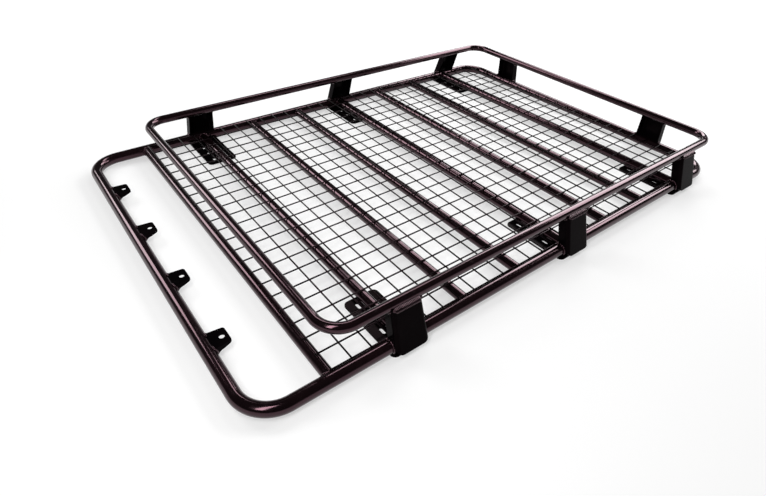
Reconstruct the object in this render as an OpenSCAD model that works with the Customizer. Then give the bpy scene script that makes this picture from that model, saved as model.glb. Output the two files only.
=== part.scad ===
/* [Overall size] */
// Length of the base loop, measured over its tubes
rack_l = 1710; // [1300:10:2300]
// Width of the base loop, measured over its tubes
rack_w = 1160; // [900:10:1500]
// Height from the base loop centre line to the upper rail centre line
rail_rise = 99; // [75:1:150]

/* [Tubes] */
// Outside diameter of the base loop tube
base_d = 32; // [26:1:40]
// Outside diameter of the eight cross tubes
cross_d = 28; // [22:1:34]
// Outside diameter of the upper rail tube
rail_d = 25; // [20:1:32]
// Wall thickness of every tube
tube_wall = 2; // [1.5:0.5:3]
// Centre line radius of the four bends in the base loop
base_bend_r = 80; // [60:5:120]
// Centre line radius of the four bends in the upper rail
rail_bend_r = 58; // [45:1:90]

/* [Layout] */
// Distance from the front tube to the first cross tube, the bay that has no mesh
front_bay = 172; // [130:2:240]
// Distance that the front of the upper rail stands behind the front tube
rail_setback = 182; // [140:2:260]
// Distance that each side of the upper rail stands inside the base loop
rail_inset = 20.5; // [10:0.5:30]
// Distance of each tail bracket from the middle of the rear tube
tail_y = 346; // [250:2:400]

/* [Uprights] */
// Width of an upright at its lower edge
bracket_w = 89; // [80:1:110]
// Width of an upright at the rail
bracket_top_w = 81; // [70:1:100]
// Depth of an upright over its folded sides
bracket_fold = 30.5; // [28:0.5:44]
// Thickness of the folded plate
bracket_t = 4; // [3:0.5:6]
// Outside radius of the two folds
fold_r = 10; // [7:1:16]
// Clear distance between the base tube and the face of an upright
bracket_gap = 8; // [2:0.5:12]
// Height of the lower edge of the uprights above the floor
bracket_low = 12.5; // [6:0.5:15]
// Radius of the rounded lower corners of an upright
bracket_r = 18; // [10:1:24]
// Distance from the tangent line on the rail down to the top edge of an upright
rail_weld = 7; // [0:0.5:8]
// Extra step towards the tail of each upright on a side, after the front one
upright_drift = 8; // [0:0.5:12]

/* [Feet] */
// Width of the feet along the tube
foot_w = 95; // [85:1:120]
// Thickness of the foot plates, which lie under the tubes
foot_t = 4; // [3:0.5:6]
// Length of a foot, from the outside of the base tube inwards
foot_l = 192; // [170:2:230]
// Distance that a foot shows outside the base tube
foot_show = 5; // [0:0.5:10]
// Radius of the rounded corners of a foot
corner_r = 14; // [8:1:20]

/* [Bolt slots] */
// Width of a bolt slot
slot_w = 9; // [7:0.5:11]
// Length of a bolt slot over its round ends
slot_l = 20; // [14:1:26]
// Distance between the slots in a row
slot_pitch = 47; // [36:1:52]
// Distance from the inner end of the foot to the centre of the first slot
slot_first = 27; // [20:1:32]
// Clear distance between a slot and the cross tube above it
slot_gap = 2; // [1:0.5:4]

/* [Light tabs] */
// Distance between the centres of two tabs
tab_pitch = 230; // [150:5:260]
// Reach of a tab from the front tube centre line
tab_l = 52.5; // [46:0.5:64]
// Width of a tab at its root
tab_root_w = 54; // [46:1:70]
// Width of a tab at its tip
tab_tip_w = 46; // [34:1:50]
// Thickness of the folded tab plate
tab_t = 4; // [3:0.5:5]
// Height of the top face of a tab above the tube centre line
tab_top = 12; // [8:0.5:13]
// Diameter of the lamp bolt hole in a tab
tab_hole_d = 13; // [9:0.5:15]
// Distance from the lamp bolt hole to the tip of the tab
tab_hole_in = 14; // [11:0.5:17]

/* [Mesh floor] */
// Thickness of the mesh wires
wire_d = 4; // [3:0.5:6]
// Spacing of the mesh wires both ways
mesh_pitch = 50; // [40:1:75]

/* [Hidden] */
$fn = 96;
// depth that touching parts are pressed together
press = 0.1;
// depth that a wide wire is fused into the long wires below it
wire_press = 0.4;
// height of the cross tubes' undersides above the base loop's underside
cross_lift = 0.5;
base_r = base_d / 2;
cross_r = cross_d / 2;
rail_r = rail_d / 2;
z0 = foot_t + base_r;
z_rail = z0 + rail_rise;
z_cross = min(z0 - base_r + cross_r + cross_lift, z0 + base_r - cross_r);
face_in = base_r + bracket_gap;
face_out = face_in + bracket_t;
r_step = face_in - rail_r + press;
side_lean = atan(rail_inset / rail_rise) + asin(r_step / norm([rail_inset, rail_rise]));
tail_lean = asin(r_step / rail_rise);
side_up = sqrt(pow(rail_inset, 2) + pow(rail_rise, 2) - pow(r_step, 2));
tail_up = sqrt(pow(rail_rise, 2) - pow(r_step, 2));
tail_out = (face_out + (z0 - bracket_low) * sin(tail_lean)) / cos(tail_lean);
x_front = -(rack_l - 2 * base_r + tail_out - base_r) / 2;
x_rear = x_front + rack_l - base_d;
y_side = (rack_w - base_d) / 2;
y_rail = y_side - rail_inset;
x_rail = x_front + rail_setback;
x_first = x_front + front_bay;
bay = (x_rear - x_first) / 8;
slot_x = cross_r + slot_gap + slot_w / 2;
wire_flat = wire_d / 2 * cos(30);
z_wire = z_cross + cross_r + wire_flat - press;
z_wide = z_wire + 2 * wire_flat - wire_press;
wire_up = z_wire - z0;
side_touch = sqrt(max(1, pow(base_r + wire_d / 2, 2) - pow(wire_up, 2)));
y_edge = y_side - side_touch - 2 * press;
tail_touch = sqrt(max(1, pow(base_r, 2) - pow(wire_up - wire_flat, 2)));
// how far the mesh edge and the folded sides of an upright reach inwards, seen along the tube
mesh_in = (z_wide + wire_d / 2 - z0) * sin(side_lean) - (y_side - y_edge - wire_d / 2) * cos(side_lean);
fold_in = max(face_out - bracket_fold, mesh_in + 3 * press);
x_mesh = x_first + wire_d;
x_mesh_end = x_rear - tail_touch - 3 * press;
n_long = round(2 * y_edge / mesh_pitch);
step_y = 2 * y_edge / n_long;
n_wide = floor((x_mesh_end - x_mesh - wire_d) / mesh_pitch) + 1;
n_third = ceil(n_wide / 3);

function cross_x(i) = x_first + i * bay;
function tab_y(i) = (i - 1.5) * tab_pitch;

// wall section of a tube
module ring(d) {
  difference() {
    circle(d = d);
    circle(d = d - 2 * tube_wall);
  }
}

// straight tube along X
module tube_x(x1, x2, y, z, d) {
  translate([x1, y, z])
    rotate([0, 90, 0])
      linear_extrude(x2 - x1)
        ring(d);
}

// straight tube along Y
module tube_y(x, y1, y2, z, d) {
  translate([x, y1, z])
    rotate([-90, 0, 0])
      linear_extrude(y2 - y1)
        ring(d);
}

// quarter bend whose sweep starts at the given angle
module bend(x, y, z, d, r, start) {
  translate([x, y, z])
    rotate([0, 0, start])
      rotate_extrude(angle = 90)
        translate([r, 0])
          ring(d);
}

// the four bends of the base loop
module base_bend(x, y, start) {
  color([0.09, 0.09, 0.1])
    bend(x, y, z0, base_d, base_bend_r, start);
}

// the four bends of the upper rail
module rail_bend(x, y, start) {
  color([0.12, 0.11, 0.12])
    bend(x, y, z_rail, rail_d, rail_bend_r, start);
}

module base_front_tube() {
  color([0.1, 0.1, 0.11])
    tube_y(x_front, -y_side + base_bend_r, y_side - base_bend_r, z0, base_d);
}

module base_rear_tube() {
  color([0.1, 0.1, 0.11])
    tube_y(x_rear, -y_side + base_bend_r, y_side - base_bend_r, z0, base_d);
}

// long side of the base loop, on the side given by s
module base_side_tube(s) {
  color([0.11, 0.11, 0.12])
    tube_x(x_front + base_bend_r, x_rear - base_bend_r, s * y_side, z0, base_d);
}

// cross tube with both ends notched to fit the side tubes
module cross_tube(i) {
  color([0.14, 0.13, 0.14])
    difference() {
      tube_y(cross_x(i), -y_side, y_side, z_cross, cross_d);
      for (s = [-1, 1])
        translate([cross_x(i) - cross_d, s * y_side, z0])
          rotate([0, 90, 0])
            cylinder(h = 2 * cross_d, r = base_r);
    }
}

module rail_front_tube() {
  color([0.13, 0.12, 0.13])
    tube_y(x_rail, -y_rail + rail_bend_r, y_rail - rail_bend_r, z_rail, rail_d);
}

module rail_rear_tube() {
  color([0.13, 0.12, 0.13])
    tube_y(x_rear, -y_rail + rail_bend_r, y_rail - rail_bend_r, z_rail, rail_d);
}

// long side of the upper rail, on the side given by s
module rail_side_tube(s) {
  color([0.14, 0.13, 0.14])
    tube_x(x_rail + rail_bend_r, x_rear - rail_bend_r, s * y_rail, z_rail, rail_d);
}

// corner of a plate seen along its fold, with the fold's outside at the given point
module fold_corner(x, y, r) {
  translate([x - 2 * bracket_w, y - 2 * bracket_w]) {
    square([2 * bracket_w - r, 2 * bracket_w]);
    square([2 * bracket_w, 2 * bracket_w - r]);
  }
  translate([x - r, y - r])
    circle(r = r);
}

// folded plate: half of the face and one side, running along the fold
module folded_plate() {
  difference() {
    fold_corner(0, face_out, fold_r);
    fold_corner(-bracket_t, face_in, fold_r - bracket_t);
  }
}

// half of the face seen from outside, with the lower corner rounded
module face_outline(low, high, taper) {
  x = bracket_w / 2 - bracket_r / tan(45 - taper / 2);
  y = low + bracket_r * (1 + sin(taper));
  translate([0, low])
    square([x, high - low]);
  translate([0, y])
    square([bracket_w / 2, high - y]);
  translate([x, low + bracket_r])
    circle(r = bracket_r);
}

// side seen along the tube: under the rail at the top, hooked round the base tube below
module side_outline(low, up) {
  polygon([
    [fold_in, 0.3 * base_r],
    [fold_in, up - 0.7 * rail_r],
    [r_step, up - rail_weld],
    [face_out, up - rail_weld],
    [face_out, low],
    [0.7 * base_r, -0.7 * base_r]
  ]);
}

// half of an upright: plate along the slanting fold, trimmed in both views
module half_upright(low, up) {
  taper = atan((bracket_w - bracket_top_w) / 2 / (up - low));
  intersection() {
    translate([bracket_w / 2, 0, low])
      rotate([0, -taper, 0])
        translate([0, 0, -bracket_w])
          linear_extrude(up - low + 2 * bracket_w)
            folded_plate();
    translate([0, face_out + 1, 0])
      rotate([90, 0, 0])
        linear_extrude(bracket_fold + 2)
          face_outline(low, up, taper);
    rotate([90, 0, 90])
      linear_extrude(bracket_w)
        side_outline(low, up);
  }
}

// tapered channel that leans from the base tube at the origin to the rail, cut to fit both
module upright(lean, up) {
  low = (bracket_low - z0 - face_out * sin(lean)) / cos(lean);
  translate([0, 0, z0])
    rotate([lean, 0, 0])
      difference() {
        for (s = [0, 1])
          mirror([s, 0, 0])
            half_upright(low, up);
        translate([-bracket_w, 0, 0])
          rotate([0, 90, 0])
            cylinder(h = 2 * bracket_w, r = base_r);
        translate([-bracket_w, r_step, up])
          rotate([0, 90, 0])
            cylinder(h = 2 * bracket_w, r = rail_r);
      }
}

// flat foot with rounded corners, lying across the base tube
module foot_outline() {
  for (x = [-1, 1], y = [base_r + foot_show - corner_r, base_r - foot_l + corner_r])
    translate([x * (foot_w / 2 - corner_r), y])
      circle(r = corner_r);
  translate([-foot_w / 2, base_r - foot_l + corner_r])
    square([foot_w, foot_l + foot_show - 2 * corner_r]);
  translate([-foot_w / 2 + corner_r, base_r - foot_l])
    square([foot_w - 2 * corner_r, foot_l + foot_show]);
}

module slot() {
  square([slot_w, slot_l - slot_w], center = true);
  for (s = [-1, 1])
    translate([0, s * (slot_l - slot_w) / 2])
      circle(d = slot_w);
}

// foot plate with a row of bolt slots on each side of the cross tube
module foot_plate() {
  difference() {
    linear_extrude(foot_t)
      difference() {
        foot_outline();
        for (s = [-1, 1], k = [0:2])
          translate([s * slot_x, base_r - foot_l + slot_first + k * slot_pitch])
            slot();
      }
    translate([0, -foot_l, z_cross])
      rotate([-90, 0, 0])
        cylinder(h = foot_l, d = cross_d);
  }
}

// puts a piece on the side given by s, at the distance x along the rack
module at_side(x, s) {
  translate([x, s * y_side, 0])
    mirror([0, s < 0 ? 1 : 0, 0])
      children();
}

// upright k of a side, counted from the front
module side_upright(k, s) {
  color([0.05, 0.05, 0.06])
    at_side(cross_x(1 + 3 * k) + k * upright_drift, s)
      upright(side_lean, side_up);
}

// foot k of a side, counted from the front
module side_foot(k, s) {
  color([0.07, 0.07, 0.08])
    at_side(cross_x(1 + 3 * k), s)
      foot_plate();
}

// upright behind the rear tube
module tail_bracket(s) {
  color([0.05, 0.05, 0.06])
    translate([x_rear, s * tail_y, 0])
      rotate([0, 0, -90])
        upright(tail_lean, tail_up);
}

// tab seen from above: it narrows to a tip with rounded corners
module tab_plan() {
  r = tab_t + 3;
  w = tab_tip_w / 2;
  polygon([
    [0, -tab_root_w / 2],
    [tab_l - r, -w],
    [tab_l - r, w],
    [0, tab_root_w / 2]
  ]);
  translate([tab_l - 2 * r, -w + r])
    square([2 * r, 2 * w - 2 * r]);
  for (s = [-1, 1])
    translate([tab_l - r, s * (w - r)])
      circle(r = r);
}

// tab seen from the side: a thin tip and cheeks that sweep down the tube
module tab_side() {
  r = base_r;
  x = base_r + 0.5 + r;
  difference() {
    polygon([
      [0, -base_r],
      [x, -base_r],
      [x, 0.5],
      [tab_l + 1, tab_top - tab_t],
      [tab_l + 1, tab_top],
      [0, tab_top]
    ]);
    translate([x, 0.5 - r])
      circle(r = r);
  }
}

// space under the top of a tab, between its two cheeks
module tab_hollow() {
  translate([0, 0, -2 * base_r])
    linear_extrude(2 * base_r + tab_top - tab_t)
      polygon([
        [0, -tab_root_w / 2 + tab_t],
        [2 * tab_l, -tab_tip_w + tab_root_w / 2 + tab_t],
        [2 * tab_l, tab_tip_w - tab_root_w / 2 - tab_t],
        [0, tab_root_w / 2 - tab_t]
      ]);
}

// folded lamp tab welded to the back of the front tube
module light_tab(i) {
  color([0.06, 0.06, 0.07])
    translate([x_front, tab_y(i), z0])
      difference() {
        intersection() {
          translate([0, 0, -base_r])
            linear_extrude(base_r + tab_top)
              tab_plan();
          translate([0, tab_root_w, 0])
            rotate([90, 0, 0])
              linear_extrude(2 * tab_root_w)
                tab_side();
        }
        tab_hollow();
        translate([tab_l - tab_hole_in, 0, 0])
          cylinder(h = 4 * tab_t, d = tab_hole_d);
        translate([0, tab_root_w, 0])
          rotate([90, 0, 0])
            cylinder(h = 2 * tab_root_w, r = base_r);
      }
}

// welded mesh: long wires on the cross tubes and wide wires pressed into them
module mesh_part(k) {
  first = k * n_third;
  last = min(n_wide, first + n_third) - 1;
  x1 = k == 0 ? x_mesh - wire_d / 2 : x_mesh + (first - 0.5) * mesh_pitch;
  x2 = k == 2 ? x_mesh_end : x_mesh + (last + 0.5) * mesh_pitch;
  color([0.2, 0.2, 0.21])
    difference() {
      union() {
        for (j = [0:n_long])
          translate([x1, -y_edge + j * step_y, z_wire])
            rotate([0, 90, 0])
              rotate([0, 0, 30])
                cylinder(h = x2 - x1, d = wire_d, $fn = 6);
        for (i = [first:last])
          translate([x_mesh + i * mesh_pitch, -y_edge - wire_d / 2, z_wide])
            rotate([-90, 0, 0])
              cylinder(h = 2 * y_edge + wire_d, d = wire_d, $fn = 6);
      }
      if (k == 2)
        for (s = [-1, 1])
          translate([x_rear - base_bend_r, s * (y_side - base_bend_r), z0])
            rotate([0, 0, s < 0 ? -90 : 0])
              beyond_bend();
    }
}

// a base bend and everything outside it, for trimming the mesh to the rear corners
module beyond_bend() {
  rotate_extrude(angle = 90)
    translate([base_bend_r, 0]) {
      circle(r = base_r);
      translate([0, -base_r])
        square([base_bend_r, 2 * base_d]);
    }
}

module base_left_tube() { base_side_tube(-1); }
module base_right_tube() { base_side_tube(1); }
module base_bend_front_left() { base_bend(x_front + base_bend_r, -y_side + base_bend_r, 180); }
module base_bend_front_right() { base_bend(x_front + base_bend_r, y_side - base_bend_r, 90); }
module base_bend_rear_left() { base_bend(x_rear - base_bend_r, -y_side + base_bend_r, 270); }
module base_bend_rear_right() { base_bend(x_rear - base_bend_r, y_side - base_bend_r, 0); }
module rail_left_tube() { rail_side_tube(-1); }
module rail_right_tube() { rail_side_tube(1); }
module rail_bend_front_left() { rail_bend(x_rail + rail_bend_r, -y_rail + rail_bend_r, 180); }
module rail_bend_front_right() { rail_bend(x_rail + rail_bend_r, y_rail - rail_bend_r, 90); }
module rail_bend_rear_left() { rail_bend(x_rear - rail_bend_r, -y_rail + rail_bend_r, 270); }
module rail_bend_rear_right() { rail_bend(x_rear - rail_bend_r, y_rail - rail_bend_r, 0); }

base_front_tube();
base_rear_tube();
base_left_tube();
base_right_tube();
base_bend_front_left();
base_bend_front_right();
base_bend_rear_left();
base_bend_rear_right();
cross_tube(0);  // cross_tube_1
cross_tube(1);  // cross_tube_2
cross_tube(2);  // cross_tube_3
cross_tube(3);  // cross_tube_4
cross_tube(4);  // cross_tube_5
cross_tube(5);  // cross_tube_6
cross_tube(6);  // cross_tube_7
cross_tube(7);  // cross_tube_8
rail_front_tube();
rail_rear_tube();
rail_left_tube();
rail_right_tube();
rail_bend_front_left();
rail_bend_front_right();
rail_bend_rear_left();
rail_bend_rear_right();
side_upright(0, -1);  // upright_front_left
side_upright(0, 1);  // upright_front_right
side_upright(1, -1);  // upright_middle_left
side_upright(1, 1);  // upright_middle_right
side_upright(2, -1);  // upright_rear_left
side_upright(2, 1);  // upright_rear_right
side_foot(0, -1);  // foot_front_left
side_foot(0, 1);  // foot_front_right
side_foot(1, -1);  // foot_middle_left
side_foot(1, 1);  // foot_middle_right
side_foot(2, -1);  // foot_rear_left
side_foot(2, 1);  // foot_rear_right
tail_bracket(-1);  // tail_bracket_left
tail_bracket(1);  // tail_bracket_right
light_tab(0);  // light_tab_1
light_tab(1);  // light_tab_2
light_tab(2);  // light_tab_3
light_tab(3);  // light_tab_4
mesh_part(0);  // mesh_front
mesh_part(1);  // mesh_middle
mesh_part(2);  // mesh_rear
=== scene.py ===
import math
import random

import bmesh
import bpy
from mathutils import Euler, Matrix, Vector


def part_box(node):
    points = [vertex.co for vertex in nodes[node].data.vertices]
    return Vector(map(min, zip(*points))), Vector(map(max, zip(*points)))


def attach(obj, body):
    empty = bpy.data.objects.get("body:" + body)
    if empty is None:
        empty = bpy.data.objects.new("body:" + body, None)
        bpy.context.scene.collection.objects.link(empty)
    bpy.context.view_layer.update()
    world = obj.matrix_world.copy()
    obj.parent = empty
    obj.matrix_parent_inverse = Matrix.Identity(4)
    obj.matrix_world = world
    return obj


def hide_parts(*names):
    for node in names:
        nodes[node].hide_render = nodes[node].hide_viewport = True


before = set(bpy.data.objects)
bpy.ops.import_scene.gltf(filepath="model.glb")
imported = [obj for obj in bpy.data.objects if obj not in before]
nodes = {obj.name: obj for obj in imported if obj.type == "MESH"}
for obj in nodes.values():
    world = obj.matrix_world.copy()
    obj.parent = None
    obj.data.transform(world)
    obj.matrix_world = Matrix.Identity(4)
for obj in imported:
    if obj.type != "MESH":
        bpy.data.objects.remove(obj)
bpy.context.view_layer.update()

# Camera
# It stands off the front left corner at about chest height and looks down along the rack,
# with the wide lens that makes the front bay look so large.
camera_place = (-0.99669, -1.10340, 0.86434)
camera_turn = (50.990, -2.182, -37.204)
camera_lens = 24.05
camera_sensor = 36.0

camera_data = bpy.data.cameras.new("camera")
camera_data.lens = camera_lens
camera_data.sensor_width = camera_sensor
camera = bpy.data.objects.new("camera", camera_data)
camera.location = camera_place
camera.rotation_euler = Euler([math.radians(a) for a in camera_turn])
bpy.context.scene.collection.objects.link(camera)
bpy.context.scene.camera = camera
bpy.context.scene.view_settings.view_transform = "Standard"


# Floor and studio
# A plain white floor that keeps the soft shadows under the bars, and four soft lamps: a wide one
# beyond the tail, one beyond the far side, a small one high up and a narrow one in front. The
# walls of the room are white low down, as the floor is, and its ceiling is dark.
class Link:
    """One value in a material, so that shader maths is written as sums."""

    def __init__(self, tree, socket=None):
        self.tree = tree
        self.socket = socket

    def node(self, kind, settings, values, output=0):
        """Any other node, with its settings and input values, as a link from one output."""
        made = self.tree.nodes.new(kind)
        for key, value in settings.items():
            setattr(made, key, value)
        for key, value in values.items():
            if isinstance(value, Link):
                self.tree.links.new(value.socket, made.inputs[key])
            else:
                made.inputs[key].default_value = value
        return Link(self.tree, made.outputs[output] if made.outputs else None)

    def maths(self, operation, first, second):
        return self.node("ShaderNodeMath", {"operation": operation}, {0: first, 1: second})

    def __add__(self, other):
        return self.maths("ADD", self, other)

    def __radd__(self, other):
        return self.maths("ADD", other, self)

    def __rsub__(self, other):
        return self.maths("SUBTRACT", other, self)

    def __mul__(self, other):
        return self.maths("MULTIPLY", self, other)

    def ramp(self, low, high):
        """0 below low, 1 above high and a smooth step between them."""
        settings = {"interpolation_type": "SMOOTHSTEP"}
        return self.node("ShaderNodeMapRange", settings, {"Value": self, "From Min": low, "From Max": high})

    def mix(self, dull, bright):
        """A colour between two colours, by this value."""
        settings = {"data_type": "RGBA"}
        return self.node("ShaderNodeMix", settings, {0: self, 6: dull, 7: bright}, 2)


def blank_material(name):
    made = bpy.data.materials.new(name)
    made.use_nodes = True
    made.node_tree.nodes.clear()
    return made, Link(made.node_tree)


def seen_directly(sheet):
    """1 for a ray from the camera, off gloss or through glass, and 0 for the light that falls on things."""
    rays = ("Is Camera Ray", "Is Glossy Ray", "Is Transmission Ray")
    kinds = [sheet.node("ShaderNodeLightPath", {}, {}, ray) for ray in rays]
    return kinds[0] + kinds[1] + kinds[2]


floor_size = 40.0
floor_drop = 0.0004
floor_white = (0.50, 0.50, 0.50, 1.0)
floor_glow = 0.50
lit_reach = (1.5, 3.5)

floor_mesh = bpy.data.meshes.new("floor")
shape = bmesh.new()
bmesh.ops.create_grid(shape, x_segments=1, y_segments=1, size=floor_size / 2)
bmesh.ops.translate(shape, verts=shape.verts, vec=(0, 0, -floor_drop))
shape.to_mesh(floor_mesh)
shape.free()
floor = bpy.data.objects.new("floor", floor_mesh)
bpy.context.scene.collection.objects.link(floor)

floor_paint, sheet = blank_material("floor_paint")
matt = sheet.node("ShaderNodeBsdfDiffuse", {}, {"Color": floor_white})
spot = sheet.node("ShaderNodeTexCoord", {}, {}, "Object")
away = sheet.node("ShaderNodeVectorMath", {"operation": "LENGTH"}, {0: spot}, "Value").ramp(*lit_reach)
strength = seen_directly(sheet) * (floor_glow + away * (1.0 - floor_glow))
glow = sheet.node("ShaderNodeEmission", {}, {"Strength": strength})
both = sheet.node("ShaderNodeAddShader", {}, {0: matt, 1: glow})
sheet.node("ShaderNodeOutputMaterial", {}, {"Surface": both})
floor.data.materials.append(floor_paint)


def soft_lamp(name, place, size, watts):
    """A white sheet of light that points at the middle of the rack."""
    data = bpy.data.lights.new(name, "AREA")
    data.shape = "RECTANGLE"
    data.size, data.size_y = size
    data.energy = watts
    lamp = bpy.data.objects.new(name, data)
    lamp.location = place
    lamp.rotation_euler = (-Vector(place)).to_track_quat("-Z", "Y").to_euler()
    lamp.visible_camera = False
    bpy.context.scene.collection.objects.link(lamp)


soft_lamp("tail_lamp", (3.0, 0.45, 2.1), (4.2, 1.35), 150.0)
soft_lamp("far_lamp", (-1.6, 2.6, 2.0), (1.2, 1.6), 46.0)
soft_lamp("high_lamp", (1.0, 1.4, 2.6), (1.5, 0.6), 20.0)
soft_lamp("front_lamp", (-1.2, -0.75, 1.3), (0.30, 1.2), 13.0)

room_grey = 0.06
white_wall = 1.0
wall_fade = (0.05, 0.20)

world = bpy.data.worlds.new("room")
bpy.context.scene.world = world
world.use_nodes = True
world.node_tree.nodes.clear()
room = Link(world.node_tree)
heading = room.node("ShaderNodeTexCoord", {}, {}, "Generated")
height = room.node("ShaderNodeSeparateXYZ", {}, {0: heading}, "Z")
wall = 1.0 - height.ramp(*wall_fade)
strength = room_grey + seen_directly(room) * wall * white_wall
air = room.node("ShaderNodeBackground", {}, {"Color": (1.0, 1.0, 1.0, 1.0), "Strength": strength})
room.node("ShaderNodeOutputWorld", {}, {"Surface": air})


# Base loop
# Round steel tube of 32 mm, bent at the four corners, in gloss black paint. The paint has a
# fine orange peel, and looks plum where it catches the light.
dusty = (0.30, 0.27, 0.27, 1.0)


def black_paint(name, deep, lit, tint, shine, gloss, peel, rubbed=None):
    """Black paint on steel with orange peel, dust and dull marks, worn above the height rubbed."""
    made, paint = blank_material(name)
    place = paint.node("ShaderNodeTexCoord", {}, {}, "Object")
    patches = paint.node("ShaderNodeTexNoise", {}, {"Vector": place, "Scale": 9.0, "Detail": 3.0})
    marks = paint.node("ShaderNodeTexNoise", {}, {"Vector": place, "Scale": 60.0, "Detail": 5.0})
    specks = paint.node("ShaderNodeTexNoise", {}, {"Vector": place, "Scale": 900.0, "Detail": 1.0})
    skin = paint.node("ShaderNodeTexNoise", {}, {"Vector": place, "Scale": 260.0, "Detail": 2.0})
    dust = specks.ramp(0.72, 0.80)
    worn = marks.ramp(0.58, 0.70)
    if rubbed:
        top = paint.node("ShaderNodeSeparateXYZ", {}, {0: place}, "Z")
        worn = worn * top.ramp(rubbed - 0.003, rubbed + 0.001)
    else:
        worn = worn * 0.2
    colour = patches.ramp(0.35, 0.65).mix(deep, lit)
    colour = (dust * 0.03 + worn * 0.012).mix(colour, dusty)
    rough = gloss + marks.ramp(0.45, 0.80) * 0.05 + worn * 0.08 + dust * 0.20
    bumps = skin * peel + marks * 0.3
    normal = paint.node("ShaderNodeBump", {}, {"Strength": 0.4, "Distance": 0.00003, "Height": bumps})
    coat = {"Base Color": colour, "Roughness": rough, "Normal": normal}
    coat.update({"Specular IOR Level": shine, "Specular Tint": tint})
    shader = paint.node("ShaderNodeBsdfPrincipled", {}, coat)
    paint.node("ShaderNodeOutputMaterial", {}, {"Surface": shader})
    return made


def coat_nodes(paint, *starts):
    """Gives the paint to each node whose name starts so."""
    for name, node in nodes.items():
        if name.startswith(starts):
            for place in node.material_slots:
                place.material = paint


plum = (1.0, 0.56, 0.68, 1.0)
base_r = 0.016
base_z = 0.020
gloss_deep = (0.002, 0.001, 0.0012, 1)
gloss_lit = (0.005, 0.002, 0.0025, 1)

frame_paint = black_paint("frame_paint_gloss", gloss_deep, gloss_lit, plum,
                          shine=0.60, gloss=0.12, peel=0.3)
coat_nodes(frame_paint, "base_")


# Cross tubes
# Eight tubes of 28 mm between the long sides of the base loop. Each end is notched to the side
# tube and has one run of weld round it, under the same paint.
bead_sides = 8
bead_start = 0.6
bead_growth = 0.2
bead_low = 0.80
ripple = 0.20
unevenness = 0.03
weld_step = 0.0009
weld_gap = 0.0006


def arc_turns(first, last, steps):
    """The angles of an arc in even steps, from first to last in degrees."""
    return [math.radians(first + (last - first) * count / steps) for count in range(steps + 1)]


def lay_bead(shape, path, thick, form=Matrix()):
    """Lays one run of weld along a path, a ring pushed along it that swells at each ripple."""
    bead = bmesh.new()
    disc = bmesh.ops.create_circle(bead, cap_ends=True, radius=thick * bead_start, segments=bead_sides)
    ring = disc["verts"]
    heading = (path[1] - path[0]).normalized()
    stand = Vector((0, 0, 1)).rotation_difference(heading).to_matrix().to_4x4()
    bmesh.ops.transform(bead, matrix=Matrix.Translation(path[0]) @ stand, verts=ring)
    rim = list(bead.edges)
    size = bead_start
    last = len(path) - 1
    for count in range(1, last + 1):
        grown = bmesh.ops.extrude_edge_only(bead, edges=rim)["geom"]
        ring = [part for part in grown if isinstance(part, bmesh.types.BMVert)]
        sides = [part for part in grown if isinstance(part, bmesh.types.BMEdge)]
        rim = [edge for edge in sides if edge.verts[0] in ring and edge.verts[1] in ring]
        ahead = (path[min(count + 1, last)] - path[count - 1]).normalized()
        swell = bead_low + ripple * abs(math.cos(count * math.pi / 4))
        swell += random.uniform(-unevenness, unevenness)
        swell *= min(1.0, bead_start + bead_growth * count, bead_start + bead_growth * (last - count))
        turn = heading.rotation_difference(ahead).to_matrix().to_4x4()
        push = Matrix.Translation(path[count]) @ turn @ Matrix.Scale(swell / size, 4)
        bmesh.ops.transform(bead, matrix=push @ Matrix.Translation(-path[count - 1]), verts=ring)
        heading = ahead
        size = swell
    bmesh.ops.edgeloop_fill(bead, edges=rim)
    bmesh.ops.transform(bead, matrix=form, verts=bead.verts)
    bmesh.ops.recalc_face_normals(bead, faces=bead.faces)
    run = bpy.data.meshes.new("run")
    bead.to_mesh(run)
    bead.free()
    shape.from_mesh(run)
    bpy.data.meshes.remove(run)


def set_piece(name, shape, paint):
    """Turns a finished shape into a smooth piece on the rack, with its faces outwards."""
    bmesh.ops.recalc_face_normals(shape, faces=shape.faces)
    for face in shape.faces:
        face.smooth = True
    mesh = bpy.data.meshes.new(name)
    shape.to_mesh(mesh)
    shape.free()
    piece = bpy.data.objects.new(name, mesh)
    bpy.context.scene.collection.objects.link(piece)
    mesh.materials.append(paint)
    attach(piece, "root")
    return piece


random.seed(4)
cross_r = 0.014
cross_z = 0.0185
side_y = 0.564
cross_bead = 0.0030
cross_arc = (-50, 230, 80)

cross_x = []
for number in range(1, 9):
    low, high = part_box("cross_tube_%d" % number)
    cross_x.append((low[0] + high[0]) / 2)

coat_nodes(frame_paint, "cross_")
welds = bmesh.new()
for middle in cross_x:
    for side in (-1, 1):
        path = []
        for turn in arc_turns(*cross_arc):
            up = cross_z + cross_r * math.sin(turn)
            into = math.sqrt(base_r ** 2 - (up - base_z) ** 2)
            along = middle + (cross_r + weld_gap) * math.cos(turn)
            path.append(Vector((along, side * (side_y - into - weld_gap), up)))
        lay_bead(welds, path, cross_bead)
set_piece("cross_tube_welds", welds, frame_paint)


# Feet
# Six flat plates of 4 mm under the side tubes and cross tubes, each with two rows of bolt
# slots. Short stitches of weld hold the tubes down on them.
random.seed(5)
foot_bead = 0.0026
foot_top = 0.004
bead_rise = 0.0014
cross_beside = 0.0088
cross_stitches = ((0.395, 0.430), (0.470, 0.500))
side_in = 0.0098
side_stitch_from = 0.020
side_stitch_steps = 24

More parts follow.
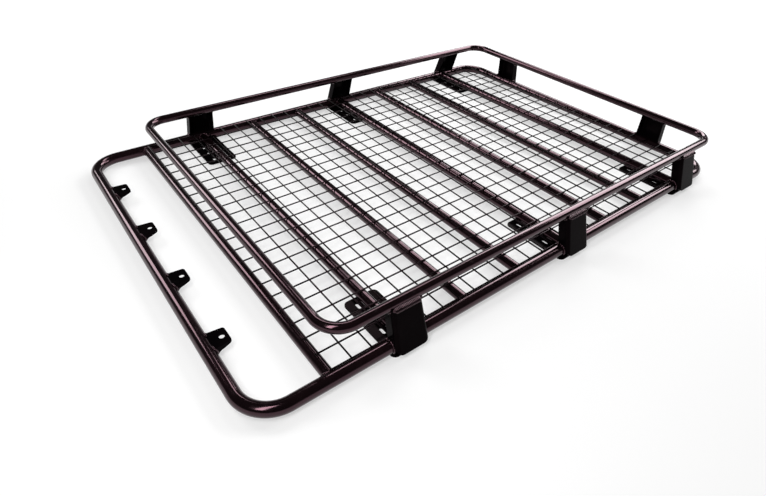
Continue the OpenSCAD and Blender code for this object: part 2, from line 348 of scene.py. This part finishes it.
plate_deep = (0.0012, 0.001, 0.0012, 1)
plate_lit = (0.003, 0.0022, 0.0026, 1)
plate_paint = black_paint("plate_paint_satin", plate_deep, plate_lit, plum,
                          shine=0.02, gloss=0.20, peel=0.3)
coat_nodes(plate_paint, "foot_")
welds = bmesh.new()
for middle in (cross_x[1], cross_x[4], cross_x[7]):
    for side in (-1, 1):
        for beside in (-1, 1):
            for start, stop in cross_stitches:
                steps = int((stop - start) / weld_step)
                path = []
                for count in range(steps):
                    along = start + (stop - start) * count / steps
                    path.append(Vector((middle + beside * cross_beside, side * along, foot_top + bead_rise)))
                lay_bead(welds, path, foot_bead)
            path = []
            for count in range(side_stitch_steps):
                along = middle + beside * (side_stitch_from + weld_step * count)
                path.append(Vector((along, side * (side_y - side_in), foot_top + bead_rise)))
            lay_bead(welds, path, foot_bead)
set_piece("foot_welds", welds, frame_paint)


# Mesh floor
# Round 4 mm wires about 50 mm apart both ways. The wide wires are pressed into the long ones,
# which squeezes out a small collar at each crossing. The long wires lie on the cross tubes.
wire_r = 0.002
wire_pitch = 0.050
long_count = 23
wire_sides = 10
bend_reach = 0.0705
collar_form = Matrix.Diagonal((1.25, 1.25, 0.6, 1.0))
tack_r = 0.0018
tack_beside = 0.0019
tack_drop = 0.0014

wire_top = 0.0375
wire_deep = (0.002, 0.0018, 0.0019, 1)
wire_lit = (0.005, 0.004, 0.0045, 1)
wire_paint = black_paint("wire_paint_satin", wire_deep, wire_lit, plum,
                         shine=0.16, gloss=0.32, peel=1.0, rubbed=wire_top)
low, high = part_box("mesh_front")
front_x = low[0]
edge_y = high[1] - wire_r
long_z = low[2] + wire_r * math.cos(math.radians(30))
wide_z = high[2] - wire_r
tail_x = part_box("mesh_rear")[1][0]
corner_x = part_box("base_bend_rear_left")[0][0]
corner_y = side_y - (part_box("base_bend_rear_left")[1][0] - corner_x - base_r)


def lay_wire(shape, start, stop):
    """One round wire between two points."""
    run = stop - start
    turn = Vector((0, 0, 1)).rotation_difference(run).to_matrix().to_4x4()
    bmesh.ops.create_cone(shape, cap_ends=True, segments=wire_sides, radius1=wire_r, radius2=wire_r,
                          depth=run.length, matrix=Matrix.Translation((start + stop) / 2) @ turn)


def short_of_corner(across, middle):
    """How far a wire may run past the middle of a rear bend that it meets off centre."""
    return math.sqrt(bend_reach ** 2 - max(0.0, abs(across) - middle) ** 2)


wires = bmesh.new()
collar_places = []
long_y = [-edge_y + 2 * edge_y * count / (long_count - 1) for count in range(long_count)]
for across in long_y:
    end = tail_x
    if abs(across) > corner_y:
        end = min(tail_x, corner_x + short_of_corner(across, corner_y))
    lay_wire(wires, Vector((front_x, across, long_z)), Vector((end, across, long_z)))
wide_x = front_x + wire_r
while wide_x < tail_x:
    reach = edge_y + wire_r
    if wide_x > corner_x:
        reach = min(reach, corner_y + short_of_corner(wide_x, corner_x))
    lay_wire(wires, Vector((wide_x, -reach, wide_z)), Vector((wide_x, reach, wide_z)))
    for across in long_y:
        if abs(across) < reach:
            collar_places.append((wide_x, across))
    wide_x += wire_pitch
for place in collar_places:
    crossing = Matrix.Translation((place[0], place[1], (long_z + wide_z) / 2))
    bmesh.ops.create_icosphere(wires, subdivisions=1, radius=wire_r, matrix=crossing @ collar_form)
wire_floor = set_piece("wire_floor", wires, wire_paint)
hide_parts("mesh_front", "mesh_middle", "mesh_rear")

tacks = bmesh.new()
random.seed(6)
for middle in cross_x:
    for across in long_y[1:-1]:
        for beside in (-1, 1):
            size = random.uniform(0.8, 1.25)
            along = middle + random.uniform(-0.001, 0.001)
            under = Matrix.Translation((along, across + beside * tack_beside, long_z - tack_drop))
            form = under @ Matrix.Diagonal((1.6 * size, size, 0.7, 1.0))
            bmesh.ops.create_icosphere(tacks, subdivisions=1, radius=tack_r, matrix=form)
set_piece("mesh_tacks", tacks, wire_paint)


# Upper rail
# One loop of 25 mm tube bent at its corners, in the same gloss black, a little rubbed along
# its top where loads and straps pass over it.
rail_top = 0.130
rail_paint = black_paint("rail_paint_gloss", gloss_deep, gloss_lit, plum,
                         shine=0.60, gloss=0.11, peel=0.3, rubbed=rail_top)
coat_nodes(rail_paint, "rail_")


# Uprights
# Six tapered channels folded from 4 mm plate. Their sides are cut out to hook round the base
# tube and under the rail, with a weld along each cut and a wide one along the top edge.
rail_out = 0.0116
side_lean = math.radians(18.288)
side_up = 0.10043
upright_w = (0.089, 0.081)
side_taper = 0.036
taper_from = 0.017
top_from = -0.0345
top_steps = 77
top_out = 0.0264
top_drop = 0.0062
top_tilt = math.radians(-42)
top_spread = 2.9
top_bead = 0.0032
rail_weld_out = 0.0009
rail_weld_r = 0.0137
rail_weld_arc = (-32, -150, 32)
rail_bead = 0.0024
base_weld_r = 0.0172
base_weld_arc = (98, -42, 44)
base_bead = 0.0026
top_lump = (0.0270, 0.0066)
base_lump = (0.0010, -0.0020, 0.0180)
lump_r = 0.0040


def edge_welds(shape, stand, up):
    """Five runs and two lumps of weld on an upright, in its own directions: along the tube, out, up."""
    top = [Vector((top_from + weld_step * count, 0, 0)) for count in range(top_steps)]
    shelf = Matrix.Rotation(top_tilt, 4, "X") @ Matrix.Diagonal((1.0, top_spread, 1.0, 1.0))
    lay_bead(shape, top, top_bead, stand @ Matrix.Translation((0, top_out, up - top_drop)) @ shelf)
    for beside in (-1, 1):
        under_rail = []
        for turn in arc_turns(*rail_weld_arc):
            along = beside * (upright_w[1] / 2 + rail_weld_out)
            out = rail_out + rail_weld_r * math.cos(turn)
            under_rail.append(stand @ Vector((along, out, up + rail_weld_r * math.sin(turn))))
        lay_bead(shape, under_rail, rail_bead)
        round_base = []
        for turn in arc_turns(*base_weld_arc):
            level = base_weld_r * math.sin(turn)
            half = upright_w[0] / 2 - (level + taper_from) * side_taper + weld_gap
            round_base.append(stand @ Vector((beside * half, base_weld_r * math.cos(turn), level)))
        lay_bead(shape, round_base, base_bead)
    at_top = (top_from, top_lump[0], up - top_lump[1])
    at_base = (-upright_w[0] / 2 - base_lump[0], base_lump[1], base_lump[2])
    for lump in (at_top, at_base):
        place = stand @ Matrix.Translation(lump)
        bmesh.ops.create_icosphere(shape, subdivisions=2, radius=lump_r, matrix=place)


coat_nodes(plate_paint, "upright_")
random.seed(7)
welds = bmesh.new()
for station in ("front", "middle", "rear"):
    low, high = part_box("upright_%s_right" % station)
    for side in (-1, 1):
        foot = Vector(((low[0] + high[0]) / 2, side_y, base_z))
        stand = Matrix.Translation(foot) @ Matrix.Rotation(side_lean, 4, "X")
        if side < 0:
            stand = Matrix.Scale(-1, 4, (0, 1, 0)) @ stand
        edge_welds(welds, stand, side_up)
set_piece("upright_welds", welds, frame_paint)


# Tail brackets
# The same folded channels once more, nearly upright, behind the rear tube.
tail_lean = math.radians(6.729)
tail_up = 0.09832
rear_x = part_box("base_rear_tube")[0][0] + base_r

coat_nodes(plate_paint, "tail_")
random.seed(8)
welds = bmesh.new()
for name in ("tail_bracket_left", "tail_bracket_right"):
    low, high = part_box(name)
    foot = Vector((rear_x, (low[1] + high[1]) / 2, base_z))
    stand = Matrix.Translation(foot) @ Matrix.Rotation(-math.pi / 2, 4, "Z")
    edge_welds(welds, stand @ Matrix.Rotation(tail_lean, 4, "X"), tail_up)
set_piece("tail_bracket_welds", welds, frame_paint)


# Lamp tabs
# Four tabs folded from 4 mm plate, each with one round hole for the foot of a driving lamp.
# Two short stitches on top and one down each cheek hold a tab to the back of the front tube.
coat_nodes(plate_paint, "light_")
random.seed(9)
front_tube_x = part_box("base_front_tube")[0][0] + base_r
stitch_place = (0.0112, 0.0125)
stitch_from = 0.0155
stitch_steps = 13
stitch_bead = 0.0030
cheek_y = 0.0264
cheek_weld_r = 0.0172
cheek_arc = (52, -48, 30)
cheek_bead = 0.0025
welds = bmesh.new()
for number in range(1, 5):
    low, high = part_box("light_tab_%d" % number)
    middle = (low[1] + high[1]) / 2
    for beside in (-1, 1):
        path = []
        for count in range(stitch_steps):
            across = middle + beside * (stitch_from + weld_step * count)
            path.append(Vector((front_tube_x + stitch_place[0], across, base_z + stitch_place[1])))
        lay_bead(welds, path, stitch_bead)
        path = []
        for turn in arc_turns(*cheek_arc):
            back = front_tube_x + cheek_weld_r * math.cos(turn)
            path.append(Vector((back, middle + beside * cheek_y, base_z + cheek_weld_r * math.sin(turn))))
        lay_bead(welds, path, cheek_bead)
set_piece("lamp_tab_welds", welds, frame_paint)
